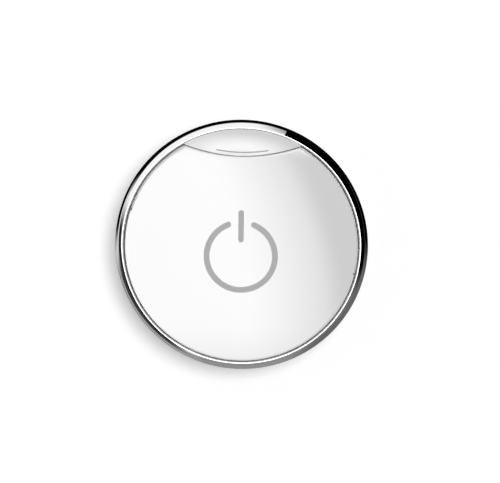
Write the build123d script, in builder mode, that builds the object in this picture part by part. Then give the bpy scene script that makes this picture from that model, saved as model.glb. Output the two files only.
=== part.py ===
from build123d import *
from math import atan2, cos, degrees, sin, sqrt
import os

# Round remote for a door lock. Millimetres, +Z up through the face, +Y towards the thumb scoop.
# The origin is the centre of the foot ring's underside, where the remote rests on a table.

# Heights, from the table upwards
foot_proud = 0.35
floor_thickness = 1.6
door_thickness = 0.9
cell_rest_height = 0.35
cell_height = 3.2
contact_space = 0.7
board_thickness = 0.8
frame_thickness = 1.1
cap_underside_gap = 0.5
cap_thickness = 1.1
dome_rise = 1.0
cap_proud = 0.45
cap_travel = 0.3

# Clearances
fit_gap = 0.08
cap_gap = 0.3
turning_gap = 0.1
seat_gap = 0.05
hold_gap = 0.02

# Bright ring
ring_width = 1.42
ring_height = 3.75
ring_bevel_width = 0.37
ring_bevel_drop = 0.1
ring_flank_width = 0.84
ring_flank_drop = 0.62
ring_flank_bulge = 0.05
ring_wall_drop = 1.0
ring_undercut = 0.8
ring_step = 0.6

# Press cap and its symbol
cap_edge_radius = 0.42
cap_corner_radius = 0.5
notch_angle = 164.0
notch_width = 0.5
notch_depth = 0.32
post_radius = 1.5
hook_leg = 0.65
hook_width = 3.0
hook_lip = 0.5
hook_lip_height = 0.45
hook_count = 4
hook_clearance = 0.2
symbol_drop = 1.55
symbol_radius = 5.66
symbol_stroke = 0.96
symbol_gap_angle = 44.0
symbol_depth = 0.35
bar_start = 2.2
bar_end = 7.74
bar_width = 0.9

# Thumb scoop, with its light slit
scoop_reach = 4.23
smile_radius = 29.1
scoop_overrun = 0.45
scoop_top_drop = 0.1
scoop_rim_drop = 0.3
scoop_sag = 0.22
peg_spacing = 10.0
peg_offset = 2.15
peg_radius = 0.6
peg_depth = 0.8
slit_offset = 0.7
slit_width = 0.32
slit_half_length = 4.25
guide_foot_width = 0.9
guide_foot_height = 0.35

# Rear shell
spigot_wall = 0.9
shell_step = 0.12
shell_belly_reach = 0.54
shell_belly_height = 0.34
shell_hollow_reach = 0.3
shell_hollow_height = 0.45
flat_margin = 1.3
rim_wall = 0.7
foot_thickness = 0.75
foot_width = 2.8
foot_edge_radius = 0.2
cell_wall = 0.7
cell_wall_drop = 0.4
rib_width = 1.2

# Battery door
hub_clearance = 0.4
hub_wall = 0.8
lug_reach = 0.9
lug_height = 0.55
lug_width = 4.6
lug_count = 3
flange_overlap = 0.9
press_ring_inset = 2.0
press_ring_width = 1.0
seal_width = 0.5
seal_height = 0.3
coin_slot_length = 13.0
coin_slot_width = 2.0
coin_slot_depth = 0.5
door_open_angle = 30.0
mark_depth = 0.15
mark_inset = 3.4
mark_stroke = 0.5
mark_angles = (90.0, 270.0)
mark_sweep = 34.0
arrow_radius = 0.85

# Housing screws
screw_count = 3
screw_shank_radius = 0.7
screw_head_radius = 1.2
screw_head_height = 0.6
screw_length = 4.2
screw_boss_radius = 1.45
driver_width = 0.32
driver_depth = 0.35

# Switch
switch_size = 5.2
switch_height = 1.0
switch_floor = 0.25
switch_cavity_radius = 1.9
switch_plate = 0.15
stem_radius = 1.25
stem_flange_radius = 1.75
stem_flange_height = 0.22
dome_height_free = 0.35
dome_sheet = 0.08
membrane_window_radius = 4.0
membrane_wall = 0.3
membrane_flange = 1.9
membrane_web = 0.25
membrane_boss_height = 0.3
membrane_seat_depth = 0.3

# Board parts
board_margin = 1.1
board_hook_space = 0.35
chip_size = 4.0
chip_height = 0.85
chip_inset = 3.1
crystal_length = 2.5
crystal_width = 2.0
crystal_height = 0.6
crystal_inset = 3.35
crystal_angle = 200.0
antenna_length = 7.0
antenna_width = 2.0
antenna_height = 0.8
antenna_inset = 2.4
passive_length = 1.0
passive_width = 0.5
passive_height = 0.4
passive_inset = 4.3
passive_count = 8
passive_start_angle = 50.0
passive_range_angle = 80.0
led_length = 1.6
led_width = 0.8
led_height = 0.5
led_gap = 0.2
post_support_radius = 0.9

# Coin cell
cell_radius = 10.0
can_wall = 0.25
can_lip = 0.65
can_drop = 0.25
cell_rim_width = 1.3
cell_cap_sheet = 0.2
cell_cap_foot = 0.9

# Battery contacts
contact_sheet = 0.15
contact_width = 3.0
side_contact_reach = 2.1
side_contact_drop = 2.5
side_contact_flare = 0.35
leaf_base = 1.6
leaf_reach = 5.0
leaf_toe = 0.8

# Heights of each layer
floor_bottom = foot_proud
floor_top = floor_bottom + floor_thickness
door_top = floor_bottom + door_thickness
cell_bottom = door_top + cell_rest_height
cell_top = cell_bottom + cell_height
board_bottom = cell_top + contact_space
board_top = board_bottom + board_thickness
frame_top = board_top + frame_thickness
cap_edge_bottom = frame_top + cap_underside_gap
cap_edge_top = cap_edge_bottom + cap_thickness
cap_crown = cap_edge_top + dome_rise
ring_crest = cap_edge_top - cap_proud
ring_bottom = ring_crest - ring_height
scoop_seat = frame_top

# Radii of the cell and the door round it
hub_inner_radius = cell_radius + hub_clearance
hub_radius = hub_inner_radius + hub_wall
ledge_radius = hub_radius + turning_gap
lug_radius = hub_radius + lug_reach
lug_entry_radius = lug_radius + turning_gap
flange_radius = lug_radius + flange_overlap
recess_radius = flange_radius + turning_gap
seal_centre_radius = (lug_entry_radius + recess_radius) / 2
cell_wall_radius = lug_radius + cap_gap
cell_wall_top = cell_top - cell_wall_drop
cell_cap_radius = cell_radius - cell_rim_width
press_ring_radius = cell_radius - press_ring_inset
mark_radius = flange_radius - mark_inset

# Radii from the door outwards to the ring
foot_inner_radius = recess_radius + rim_wall
foot_outer_radius = foot_inner_radius + foot_width
flat_radius = foot_outer_radius + flat_margin
screw_circle = (foot_inner_radius + foot_outer_radius) / 2
floor_radius = screw_circle + screw_boss_radius + turning_gap
board_radius = screw_circle + board_margin
hook_outer_radius = board_radius + board_hook_space + hook_lip + hook_leg
hook_centre_radius = hook_outer_radius - hook_leg / 2
spigot_inner_radius = hook_outer_radius + hook_clearance
spigot_radius = spigot_inner_radius + spigot_wall
frame_radius = spigot_radius + ring_step
ring_inner_radius = frame_radius + fit_gap
body_radius = ring_inner_radius + ring_width
cap_radius = ring_inner_radius - cap_gap
shoulder_radius = body_radius - ring_undercut - shell_step

# Places on the board
chip_circle = board_radius - chip_inset
crystal_circle = board_radius - crystal_inset
antenna_circle = board_radius - antenna_inset
passive_circle = board_radius - passive_inset

# The smile-shaped seam and what lies behind it
smile_low = cap_radius - scoop_reach
smile_centre = smile_low + smile_radius
scoop_inner_radius = smile_low - scoop_overrun
slit_low = smile_low + slit_offset
peg_y = smile_low + peg_offset


def ball_z(top, rise, reach, radius):
    """Height at a radius on a ball's cap that falls by rise at its reach."""
    ball = (reach**2 + rise**2) / (2 * rise)
    return top - ball + sqrt(ball**2 - radius**2)


def dome_z(radius):
    """Height of the cap's face at a distance from the middle."""
    return ball_z(cap_crown, dome_rise, cap_radius, radius)


def slit_line():
    """The arc that the light slit follows, beside the smile."""
    radius = smile_radius - slit_offset
    half_angle = degrees(slit_half_length / radius)
    return CenterArc((0, smile_centre), radius, 270 - half_angle, 2 * half_angle, mode=Mode.PRIVATE)


def symbol_outline():
    """A broken circle with a bar through its gap, in the sketch that is open."""
    arc = CenterArc(
        (0, -symbol_drop),
        symbol_radius,
        90 + symbol_gap_angle / 2,
        360 - symbol_gap_angle,
        mode=Mode.PRIVATE,
    )
    SlotArc(arc, symbol_stroke)
    with Locations((0, (bar_start + bar_end) / 2 - symbol_drop)):
        SlotOverall(bar_end - bar_start, bar_width, rotation=90)


# All that stands above the scoop's hollow
with BuildPart() as scoop_space:
    scoop_start = (scoop_inner_radius, dome_z(scoop_inner_radius) - scoop_top_drop)
    scoop_end = (ring_inner_radius, ring_crest - scoop_rim_drop)
    scoop_middle = (
        (scoop_start[0] + scoop_end[0]) / 2,
        (scoop_start[1] + scoop_end[1]) / 2 - scoop_sag,
    )
    scoop_roof = cap_crown + dome_rise
    with BuildSketch(Plane.XZ):
        with BuildLine():
            ThreePointArc(scoop_start, scoop_middle, scoop_end)
            Polyline(
                scoop_end,
                (body_radius, scoop_end[1]),
                (body_radius, scoop_roof),
                (scoop_inner_radius, scoop_roof),
                scoop_start,
            )
        make_face()
    revolve(axis=Axis.Z)

# Bright ring
with BuildPart() as chrome_ring:
    bevel_top = (ring_inner_radius + ring_bevel_width, ring_crest)
    flank_foot = (bevel_top[0] + ring_flank_width, ring_crest - ring_flank_drop)
    flank_angle = atan2(ring_flank_drop, ring_flank_width)
    flank_middle = (
        (bevel_top[0] + flank_foot[0]) / 2 + ring_flank_bulge * sin(flank_angle),
        (bevel_top[1] + flank_foot[1]) / 2 + ring_flank_bulge * cos(flank_angle),
    )
    wall_top = (body_radius, ring_crest - ring_wall_drop)
    ring_foot = (body_radius - ring_undercut, ring_bottom)
    undercut_middle = (body_radius - ring_undercut / 4, (wall_top[1] + ring_bottom) / 2)
    with BuildSketch(Plane.XZ):
        with BuildLine():
            Line((ring_inner_radius, ring_crest - ring_bevel_drop), bevel_top)
            ThreePointArc(bevel_top, flank_middle, flank_foot)
            Spline(flank_foot, wall_top, tangents=((cos(flank_angle), -sin(flank_angle)), (0, -1)))
            ThreePointArc(wall_top, undercut_middle, ring_foot)
            Polyline(
                ring_foot,
                (spigot_radius + fit_gap, ring_bottom),
                (spigot_radius + fit_gap, board_top),
                (ring_inner_radius, board_top),
                (ring_inner_radius, ring_crest - ring_bevel_drop),
            )
        make_face()
    revolve(axis=Axis.Z)
chrome_ring.part.label = "chrome_ring"

# Press cap
with BuildPart() as front_cap:
    with BuildSketch(Plane.XZ):
        with BuildLine():
            ThreePointArc(
                (0, cap_crown), (cap_radius / 2, dome_z(cap_radius / 2)), (cap_radius, cap_edge_top)
            )
            Line((cap_radius, cap_edge_top), (cap_radius, cap_edge_bottom))
            ThreePointArc(
                (cap_radius, cap_edge_bottom),
                (cap_radius / 2, dome_z(cap_radius / 2) - cap_thickness),
                (0, cap_crown - cap_thickness),
            )
            Line((0, cap_crown - cap_thickness), (0, cap_crown))
        make_face()
    revolve(axis=Axis.Z)
    with BuildSketch(Plane.XY.offset(cap_edge_bottom)):
        with Locations((0, smile_centre)):
            Circle(smile_radius + cap_gap / 2)
    extrude(amount=cap_crown, mode=Mode.SUBTRACT)
    fillet(front_cap.edges().filter_by(Axis.Z).group_by(Axis.Y)[-1], cap_corner_radius)
    fillet(front_cap.faces().sort_by(Axis.Z)[-1].edges(), cap_edge_radius)
    # Two small notches in the rim, opposite each other
    with BuildSketch(Plane.XY.offset(cap_edge_bottom)):
        with PolarLocations(cap_radius, 2, start_angle=notch_angle):
            Rectangle(2 * notch_depth, notch_width)
    extrude(amount=cap_crown, mode=Mode.SUBTRACT)
    # Post that works the switch
    post_bottom = board_top + switch_height + switch_plate + cap_travel
    post_bottom += membrane_web + membrane_boss_height
    with BuildSketch(Plane.XY.offset(post_bottom)):
        Circle(post_radius)
    extrude(amount=cap_crown - cap_thickness / 2 - post_bottom)
    # Snap hooks, all round but for the scoop
    hook_bottom = board_top - hold_gap - hook_lip_height
    hook_root = dome_z(hook_centre_radius) - cap_thickness / 2
    with BuildSketch(Plane.XY.offset(hook_bottom)):
        with PolarLocations(hook_centre_radius, hook_count, 180, 180, endpoint=True):
            Rectangle(hook_leg, hook_width)
    extrude(amount=hook_root - hook_bottom)
    with BuildSketch(Plane.XY.offset(hook_bottom)):
        with PolarLocations(hook_centre_radius - hook_lip / 2, hook_count, 180, 180, endpoint=True):
            Rectangle(hook_leg + hook_lip, hook_width)
    extrude(amount=hook_lip_height)
    # Pocket of the symbol
    with BuildSketch(Plane.XY.offset(cap_crown - symbol_depth)):
        symbol_outline()
    extrude(amount=symbol_depth + dome_rise, mode=Mode.SUBTRACT)
front_cap.part.label = "front_cap"

# Symbol, moulded flush in the cap
with BuildPart() as power_symbol:
    with BuildSketch(Plane.XY.offset(cap_crown - symbol_depth)):
        symbol_outline()
    extrude(amount=symbol_depth + dome_rise)
    with BuildSketch(Plane.XZ):
        with BuildLine():
            ThreePointArc(
                (0, cap_crown), (cap_radius / 2, dome_z(cap_radius / 2)), (cap_radius, cap_edge_top)
            )
            Polyline((cap_radius, cap_edge_top), (cap_radius, 0), (0, 0), (0, cap_crown))
        make_face()
    revolve(axis=Axis.Z, mode=Mode.INTERSECT)
power_symbol.part.label = "power_symbol"

# Thumb scoop between the cap and the ring
with BuildPart() as thumb_scoop:
    with BuildSketch(Plane.XY.offset(scoop_seat)):
        Circle(frame_radius)
        with Locations((0, smile_centre)):
            Circle(smile_radius - cap_gap / 2, mode=Mode.INTERSECT)
    extrude(amount=scoop_roof - scoop_seat)
    add(scoop_space.part, mode=Mode.SUBTRACT)
    with BuildSketch(Plane.XY.offset(scoop_seat)):
        SlotArc(slit_line(), slit_width + turning_gap / 2)
    extrude(amount=cap_crown, mode=Mode.SUBTRACT)
    with BuildSketch(Plane.XY.offset(scoop_seat)):
        SlotArc(slit_line(), guide_foot_width + fit_gap)
    extrude(amount=guide_foot_height, mode=Mode.SUBTRACT)
    # Pegs that hold it in the frame
    with BuildSketch(Plane.XY.offset(scoop_seat)):
        with Locations((0, peg_y)):
            with GridLocations(peg_spacing, 0, 2, 1):
                Circle(peg_radius)
    extrude(amount=-peg_depth)
thumb_scoop.part.label = "thumb_scoop"

# Light guide in the slit
with BuildPart() as light_guide:
    with BuildSketch(Plane.XY.offset(scoop_seat)):
        SlotArc(slit_line(), slit_width)
    extrude(amount=scoop_roof - scoop_seat)
    add(scoop_space.part, mode=Mode.SUBTRACT)
    with BuildSketch(Plane.XY.offset(scoop_seat)):
        SlotArc(slit_line(), guide_foot_width)
    extrude(amount=guide_foot_height - seat_gap)
    with BuildSketch(Plane.XY.offset(board_top + led_height + led_gap)):
        with Locations((0, slit_low)):
            Rectangle(led_length, led_width)
    extrude(amount=scoop_seat - board_top - led_height - led_gap)
light_guide.part.label = "light_guide"

# Upper frame, which clamps the board and carries cap, scoop and membrane
with BuildPart() as upper_frame:
    with BuildSketch(Plane.XY.offset(board_top)):
        Circle(frame_radius)
        Circle(membrane_window_radius, mode=Mode.SUBTRACT)
        with PolarLocations(hook_centre_radius, hook_count, 180, 180, endpoint=True):
            Rectangle(hook_leg + 2 * turning_gap, hook_width + 2 * turning_gap, mode=Mode.SUBTRACT)
        with Locations((0, slit_low)):
            Rectangle(led_length + cap_gap, led_width + cap_gap, mode=Mode.SUBTRACT)
        with Locations((0, peg_y)):
            with GridLocations(peg_spacing, 0, 2, 1):
                Circle(peg_radius + seat_gap, mode=Mode.SUBTRACT)
    extrude(amount=frame_thickness)
    with BuildSketch(Plane.XY.offset(frame_top - membrane_seat_depth)):
        Circle(membrane_window_radius + membrane_wall + membrane_flange + seat_gap)
    extrude(amount=membrane_seat_depth, mode=Mode.SUBTRACT)
    # Bosses that reach down to the floor for the screws
    with BuildSketch(Plane.XY.offset(floor_top)):
        with PolarLocations(screw_circle, screw_count, start_angle=30):
            Circle(screw_boss_radius)
    extrude(amount=board_top - floor_top)
    with BuildSketch(Plane.XY.offset(floor_top)):
        with PolarLocations(screw_circle, screw_count, start_angle=30):
            Circle(screw_shank_radius + hold_gap)
    extrude(amount=board_top - floor_top, mode=Mode.SUBTRACT)
upper_frame.part.label = "upper_frame"

# Rubber membrane between the cap's post and the switch
with BuildPart() as switch_membrane:
    seat_z = frame_top - membrane_seat_depth
    web_bottom = board_top + switch_height + switch_plate + cap_travel
    web_top = web_bottom + membrane_web
    wall_inner = membrane_window_radius + seat_gap
    wall_outer = wall_inner + membrane_wall
    with BuildSketch(Plane.XZ):
        with BuildLine():
            Polyline(
                (0, web_bottom),
                (wall_inner, web_bottom),
                (wall_inner, seat_z),
                (wall_outer + membrane_flange - 2 * seat_gap, seat_z),
                (wall_outer + membrane_flange - 2 * seat_gap, frame_top),
                (wall_outer, frame_top),
                (wall_outer, web_top),
                (post_radius, web_top),
                (post_radius, web_top + membrane_boss_height),
                (0, web_top + membrane_boss_height),
                (0, web_bottom),
            )
        make_face()
    revolve(axis=Axis.Z)
switch_membrane.part.label = "switch_membrane"

# Circuit board
with BuildPart() as circuit_board:
    with BuildSketch(Plane.XY.offset(board_bottom)):
        Circle(board_radius)
        with PolarLocations(screw_circle, screw_count, start_angle=30):
            Circle(screw_boss_radius + 2 * seat_gap, mode=Mode.SUBTRACT)
    extrude(amount=board_thickness)
circuit_board.part.label = "circuit_board"

# Switch on the board's upper side
with BuildPart() as switch_housing:
    with BuildSketch(Plane.XY.offset(board_top)):
        Rectangle(switch_size, switch_size)
    extrude(amount=switch_height)
    fillet(switch_housing.edges().filter_by(Axis.Z), switch_size / 10)
    with BuildSketch(Plane.XY.offset(board_top + switch_floor)):
        Circle(switch_cavity_radius)
    extrude(amount=switch_height, mode=Mode.SUBTRACT)
switch_housing.part.label = "switch_housing"

with BuildPart() as switch_cover:
    with BuildSketch(Plane.XY.offset(board_top + switch_height)):
        RectangleRounded(switch_size, switch_size, switch_size / 10)
        Circle(stem_radius + turning_gap, mode=Mode.SUBTRACT)
    extrude(amount=switch_plate)
switch_cover.part.label = "switch_cover"

with BuildPart() as switch_dome:
    dome_foot = switch_cavity_radius - turning_gap
    dome_base = board_top + switch_floor
    inner_foot = dome_foot - dome_sheet
    inner_top = dome_base + dome_height_free
    outer_top = inner_top + dome_sheet
    with BuildSketch(Plane.XZ):
        with BuildLine():
            ThreePointArc(
                (0, inner_top),
                (inner_foot / 2, ball_z(inner_top, dome_height_free, inner_foot, inner_foot / 2)),
                (inner_foot, dome_base),
            )
            Line((inner_foot, dome_base), (dome_foot, dome_base))
            ThreePointArc(
                (dome_foot, dome_base),
                (dome_foot / 2, ball_z(outer_top, outer_top - dome_base, dome_foot, dome_foot / 2)),
                (0, outer_top),
            )
            Line((0, outer_top), (0, inner_top))
        make_face()
    revolve(axis=Axis.Z)
switch_dome.part.label = "switch_dome"

with BuildPart() as switch_stem:
    stem_bottom = board_top + switch_floor + dome_height_free + dome_sheet
    with BuildSketch(Plane.XY.offset(stem_bottom)):
        Circle(stem_flange_radius)
    extrude(amount=stem_flange_height)
    with BuildSketch(Plane.XY.offset(stem_bottom)):
        Circle(stem_radius)
    extrude(amount=web_bottom - stem_bottom)
switch_stem.part.label = "switch_stem"

# Parts soldered to the board
with BuildPart() as status_led:
    with BuildSketch(Plane.XY.offset(board_top)):
        with Locations((0, slit_low)):
            Rectangle(led_length, led_width)
    extrude(amount=led_height)
status_led.part.label = "status_led"

with BuildPart() as radio_chip:
    with BuildSketch(Plane.XY.offset(board_bottom)):
        with Locations((-chip_circle, 0)):
            Rectangle(chip_size, chip_size)
    extrude(amount=-chip_height)
radio_chip.part.label = "radio_chip"

with BuildPart() as clock_crystal:
    with BuildSketch(Plane.XY.offset(board_bottom)):
        with PolarLocations(crystal_circle, 1, start_angle=crystal_angle):
            RectangleRounded(crystal_length, crystal_width, crystal_width / 10)
    extrude(amount=-crystal_height)
clock_crystal.part.label = "clock_crystal"

with BuildPart() as chip_antenna:
    with BuildSketch(Plane.XY.offset(board_bottom)):
        with Locations((antenna_circle, 0)):
            Rectangle(antenna_width, antenna_length)
    extrude(amount=-antenna_height)
chip_antenna.part.label = "chip_antenna"

with BuildPart() as board_passives:
    with BuildSketch(Plane.XY.offset(board_bottom)):
        with PolarLocations(passive_circle, passive_count, passive_start_angle, passive_range_angle):
            Rectangle(passive_width, passive_length)
    extrude(amount=-passive_height)
board_passives.part.label = "board_passives"

# Coin cell, its can downwards
with BuildPart() as cell_can:
    can_top = cell_top - can_drop
    can_inner = cell_radius - can_wall
    with BuildSketch(Plane.XZ):
        with BuildLine():
            Polyline(
                (0, cell_bottom),
                (cell_radius, cell_bottom),
                (cell_radius, can_top),
                (cell_radius - can_lip, can_top),
                (cell_radius - can_lip, can_top - can_wall),
                (can_inner, can_top - can_wall),
                (can_inner, cell_bottom + can_wall),
                (0, cell_bottom + can_wall),
                (0, cell_bottom),
            )
        make_face()
    revolve(axis=Axis.Z)
    fillet(cell_can.edges().group_by(Axis.Z)[0], can_wall)
    fillet(cell_can.edges().group_by(Axis.Z)[-1].sort_by(SortBy.RADIUS)[-1], can_wall / 2)
cell_can.part.label = "cell_can"

with BuildPart() as cell_cap:
    cap_foot_z = cell_bottom + can_wall + cell_cap_foot
    with BuildSketch(Plane.XZ):
        with BuildLine():
            Polyline(
                (0, cell_top),
                (cell_cap_radius, cell_top),
                (cell_cap_radius, cap_foot_z),
                (cell_cap_radius - cell_cap_sheet, cap_foot_z),
                (cell_cap_radius - cell_cap_sheet, cell_top - cell_cap_sheet),
                (0, cell_top - cell_cap_sheet),
                (0, cell_top),
            )
        make_face()
    revolve(axis=Axis.Z)
    fillet(cell_cap.edges().group_by(Axis.Z)[-1], cell_cap_sheet / 2)
cell_cap.part.label = "cell_cap"

with BuildPart() as cell_gasket:
    with BuildSketch(Plane.XZ):
        with BuildLine():
            Polyline(
                (cell_cap_radius, cap_foot_z),
                (can_inner, cap_foot_z),
                (can_inner, can_top - can_wall),
                (cell_cap_radius, can_top - can_wall),
                (cell_cap_radius, cap_foot_z),
            )
        make_face()
    revolve(axis=Axis.Z)
cell_gasket.part.label = "cell_gasket"

with BuildPart() as cell_core:
    with BuildSketch(Plane.XY.offset(cell_bottom + can_wall)):
        Circle(can_inner)
    extrude(amount=cell_cap_foot)
    with BuildSketch(Plane.XY.offset(cap_foot_z)):
        Circle(cell_cap_radius - cell_cap_sheet)
    extrude(amount=cell_top - cell_cap_sheet - cap_foot_z)
cell_core.part.label = "cell_core"

# Spring contacts under the board
with BuildPart() as positive_contact:
    leg_face = -cell_radius - seat_gap
    leg_foot = board_bottom - side_contact_drop
    with BuildSketch(Plane.YZ):
        with BuildLine():
            Polyline(
                (leg_face, board_bottom),
                (leg_face, leg_foot),
                (leg_face - side_contact_flare, leg_foot - side_contact_flare),
                (leg_face - side_contact_flare - contact_sheet, leg_foot - side_contact_flare),
                (leg_face - contact_sheet, leg_foot),
                (leg_face - contact_sheet, board_bottom - contact_sheet),
                (leg_face - side_contact_reach, board_bottom - contact_sheet),
                (leg_face - side_contact_reach, board_bottom),
                (leg_face, board_bottom),
            )
        make_face()
    extrude(amount=contact_width / 2, both=True)
positive_contact.part.label = "positive_contact"

with BuildPart() as negative_contact:
    with BuildSketch(Plane.XZ):
        with BuildLine():
            Polyline(
                (0, board_bottom),
                (leaf_base, board_bottom),
                (leaf_reach, cell_top + contact_sheet),
                (leaf_reach + leaf_toe, cell_top + contact_sheet),
                (leaf_reach + leaf_toe, cell_top),
                (leaf_reach - contact_sheet, cell_top),
                (leaf_base - contact_sheet, board_bottom - contact_sheet),
                (0, board_bottom - contact_sheet),
                (0, board_bottom),
            )
        make_face()
        mirror(about=Plane.YZ)
    extrude(amount=contact_width / 2, both=True)
negative_contact.part.label = "negative_contact"

# Rear shell
with BuildPart() as rear_shell:
    side_run = shoulder_radius - flat_radius
    outer_middle = (
        flat_radius + shell_belly_reach * side_run,
        floor_bottom + shell_belly_height * (ring_bottom - floor_bottom),
    )
    inner_middle = (
        spigot_inner_radius - shell_hollow_reach * side_run,
        floor_top + shell_hollow_height * (ring_bottom - floor_top),
    )
    with BuildSketch(Plane.XZ):
        with BuildLine():
            Line((0, floor_bottom), (flat_radius, floor_bottom))
            ThreePointArc((flat_radius, floor_bottom), outer_middle, (shoulder_radius, ring_bottom))
            Polyline(
                (shoulder_radius, ring_bottom),
                (spigot_radius, ring_bottom),
                (spigot_radius, board_top),
                (spigot_inner_radius, board_top),
                (spigot_inner_radius, ring_bottom),
            )
            ThreePointArc((spigot_inner_radius, ring_bottom), inner_middle, (floor_radius, floor_top))
            Polyline((floor_radius, floor_top), (0, floor_top), (0, floor_bottom))
        make_face()
    revolve(axis=Axis.Z)
    # Wall and ribs that keep the cell in the middle, and posts under the board
    with BuildSketch(Plane.XY.offset(floor_top)):
        Circle(cell_wall_radius + cell_wall)
        Circle(cell_wall_radius, mode=Mode.SUBTRACT)
        with PolarLocations(screw_circle, screw_count, start_angle=90):
            Circle(post_support_radius, mode=Mode.ADD)
    extrude(amount=cell_wall_top - floor_top)
    with BuildSketch(Plane.XY.offset(cell_wall_top)):
        with PolarLocations(screw_circle, screw_count, start_angle=90):
            Circle(post_support_radius)
    extrude(amount=board_bottom - cell_wall_top)
    lug_top = floor_top + seat_gap + lug_height
    rib_reach = cell_wall_radius + cell_wall / 2 - cell_radius - hub_clearance / 2
    with BuildSketch(Plane.XY.offset(lug_top + turning_gap)):
        rib_centre = cell_radius + hub_clearance / 2 + rib_reach / 2
        with PolarLocations(rib_centre, lug_count, start_angle=90):
            Rectangle(rib_reach, rib_width)
    extrude(amount=cell_wall_top - lug_top - turning_gap)
    # Door opening with its ledge, lug entries and seal groove
    with BuildSketch(Plane.XY.offset(floor_bottom)):
        Circle(recess_radius)
    extrude(amount=door_thickness + seat_gap, mode=Mode.SUBTRACT)
    with BuildSketch(Plane.XY.offset(floor_bottom)):
        with PolarLocations((hub_radius + lug_radius) / 2, lug_count, start_angle=90 + door_open_angle):
            Rectangle(lug_reach + hub_wall, lug_width + 4 * turning_gap)
        Circle(lug_entry_radius, mode=Mode.INTERSECT)
        Circle(ledge_radius)
    extrude(amount=floor_thickness, mode=Mode.SUBTRACT)
    with BuildSketch(Plane.XY.offset(door_top)):
        Circle(seal_centre_radius + seal_width / 2 + seat_gap)
        Circle(seal_centre_radius - seal_width / 2 - seat_gap, mode=Mode.SUBTRACT)
    extrude(amount=seal_height, mode=Mode.SUBTRACT)
    # Foot groove, and the screw holes above it
    with BuildSketch(Plane.XY.offset(floor_bottom)):
        Circle(foot_outer_radius + seat_gap)
        Circle(foot_inner_radius - seat_gap, mode=Mode.SUBTRACT)
    extrude(amount=foot_thickness - foot_proud, mode=Mode.SUBTRACT)
    with BuildSketch(Plane.XY.offset(foot_thickness)):
        with PolarLocations(screw_circle, screw_count, start_angle=30):
            Circle(screw_head_radius + seat_gap)
    extrude(amount=screw_head_height, mode=Mode.SUBTRACT)
    with BuildSketch(Plane.XY.offset(foot_thickness)):
        with PolarLocations(screw_circle, screw_count, start_angle=30):
            Circle(screw_shank_radius + seat_gap)
    extrude(amount=floor_top - foot_thickness, mode=Mode.SUBTRACT)
rear_shell.part.label = "rear_shell"

# Battery door
with BuildPart() as battery_door:
    with BuildSketch(Plane.XY.offset(floor_bottom)):
        Circle(flange_radius)
    extrude(amount=door_thickness)
    fillet(battery_door.edges().group_by(Axis.Z)[0], turning_gap)
    with BuildSketch(Plane.XY.offset(door_top)):
        Circle(hub_radius)
        Circle(hub_inner_radius, mode=Mode.SUBTRACT)
    extrude(amount=lug_top - door_top)
    with BuildSketch(Plane.XY.offset(floor_top + seat_gap)):
        with PolarLocations((hub_radius + lug_radius) / 2, lug_count, start_angle=90):
            Rectangle(lug_reach + hub_wall, lug_width)
        Circle(lug_radius, mode=Mode.INTERSECT)
        Circle(hub_inner_radius, mode=Mode.SUBTRACT)
    extrude(amount=lug_height)
    with BuildSketch(Plane.XY.offset(door_top)):
        Circle(press_ring_radius)
        Circle(press_ring_radius - press_ring_width, mode=Mode.SUBTRACT)
    extrude(amount=cell_rest_height)
    with BuildSketch(Plane.XY.offset(floor_bottom)):
        SlotOverall(coin_slot_length, coin_slot_width)
    extrude(amount=coin_slot_depth, mode=Mode.SUBTRACT)
    # Two engraved arrows that show which way the door turns
    with BuildSketch(Plane.XY.offset(floor_bottom)):
        for mark_middle in mark_angles:
            mark_line = CenterArc(
                (0, 0), mark_radius, mark_middle - mark_sweep / 2, mark_sweep, mode=Mode.PRIVATE
            )
            SlotArc(mark_line, mark_stroke)
            with PolarLocations(mark_radius, 1, start_angle=mark_middle - mark_sweep / 2):
                RegularPolygon(arrow_radius, 3, rotation=-90)
    extrude(amount=mark_depth, mode=Mode.SUBTRACT)
battery_door.part.label = "battery_door"

with BuildPart() as door_seal:
    with BuildSketch(Plane.XY.offset(door_top)):
        Circle(seal_centre_radius + seal_width / 2)
        Circle(seal_centre_radius - seal_width / 2, mode=Mode.SUBTRACT)
    extrude(amount=seal_height - seat_gap)
door_seal.part.label = "door_seal"

# Screws from the rear shell into the upper frame
with BuildPart() as housing_screws:
    with BuildSketch(Plane.XY.offset(foot_thickness)):
        with PolarLocations(screw_circle, screw_count, start_angle=30):
            Circle(screw_head_radius)
    extrude(amount=screw_head_height)
    with BuildSketch(Plane.XY.offset(foot_thickness + screw_head_height)):
        with PolarLocations(screw_circle, screw_count, start_angle=30):
            Circle(screw_shank_radius)
    extrude(amount=screw_length)
    with BuildSketch(Plane.XY.offset(foot_thickness)):
        with PolarLocations(screw_circle, screw_count, start_angle=30):
            Rectangle(screw_head_radius, driver_width)
            Rectangle(driver_width, screw_head_radius)
    extrude(amount=driver_depth, mode=Mode.SUBTRACT)
housing_screws.part.label = "housing_screws"

# Rubber foot ring over the screws
with BuildPart() as foot_ring:
    with BuildSketch(Plane.XY):
        Circle(foot_outer_radius)
        Circle(foot_inner_radius, mode=Mode.SUBTRACT)
    extrude(amount=foot_thickness)
    fillet(foot_ring.edges().group_by(Axis.Z)[0], foot_edge_radius)
foot_ring.part.label = "foot_ring"

pieces = (
    front_cap,
    power_symbol,
    thumb_scoop,
    light_guide,
    chrome_ring,
    upper_frame,
    switch_membrane,
    circuit_board,
    switch_housing,
    switch_cover,
    switch_dome,
    switch_stem,
    status_led,
    radio_chip,
    clock_crystal,
    chip_antenna,
    board_passives,
    cell_can,
    cell_cap,
    cell_gasket,
    cell_core,
    positive_contact,
    negative_contact,
    rear_shell,
    battery_door,
    door_seal,
    housing_screws,
    foot_ring,
)

os.makedirs("parts", exist_ok=True)
for piece in pieces:
    export_step(piece.part, "parts/" + piece.part.label + ".step")
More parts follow.
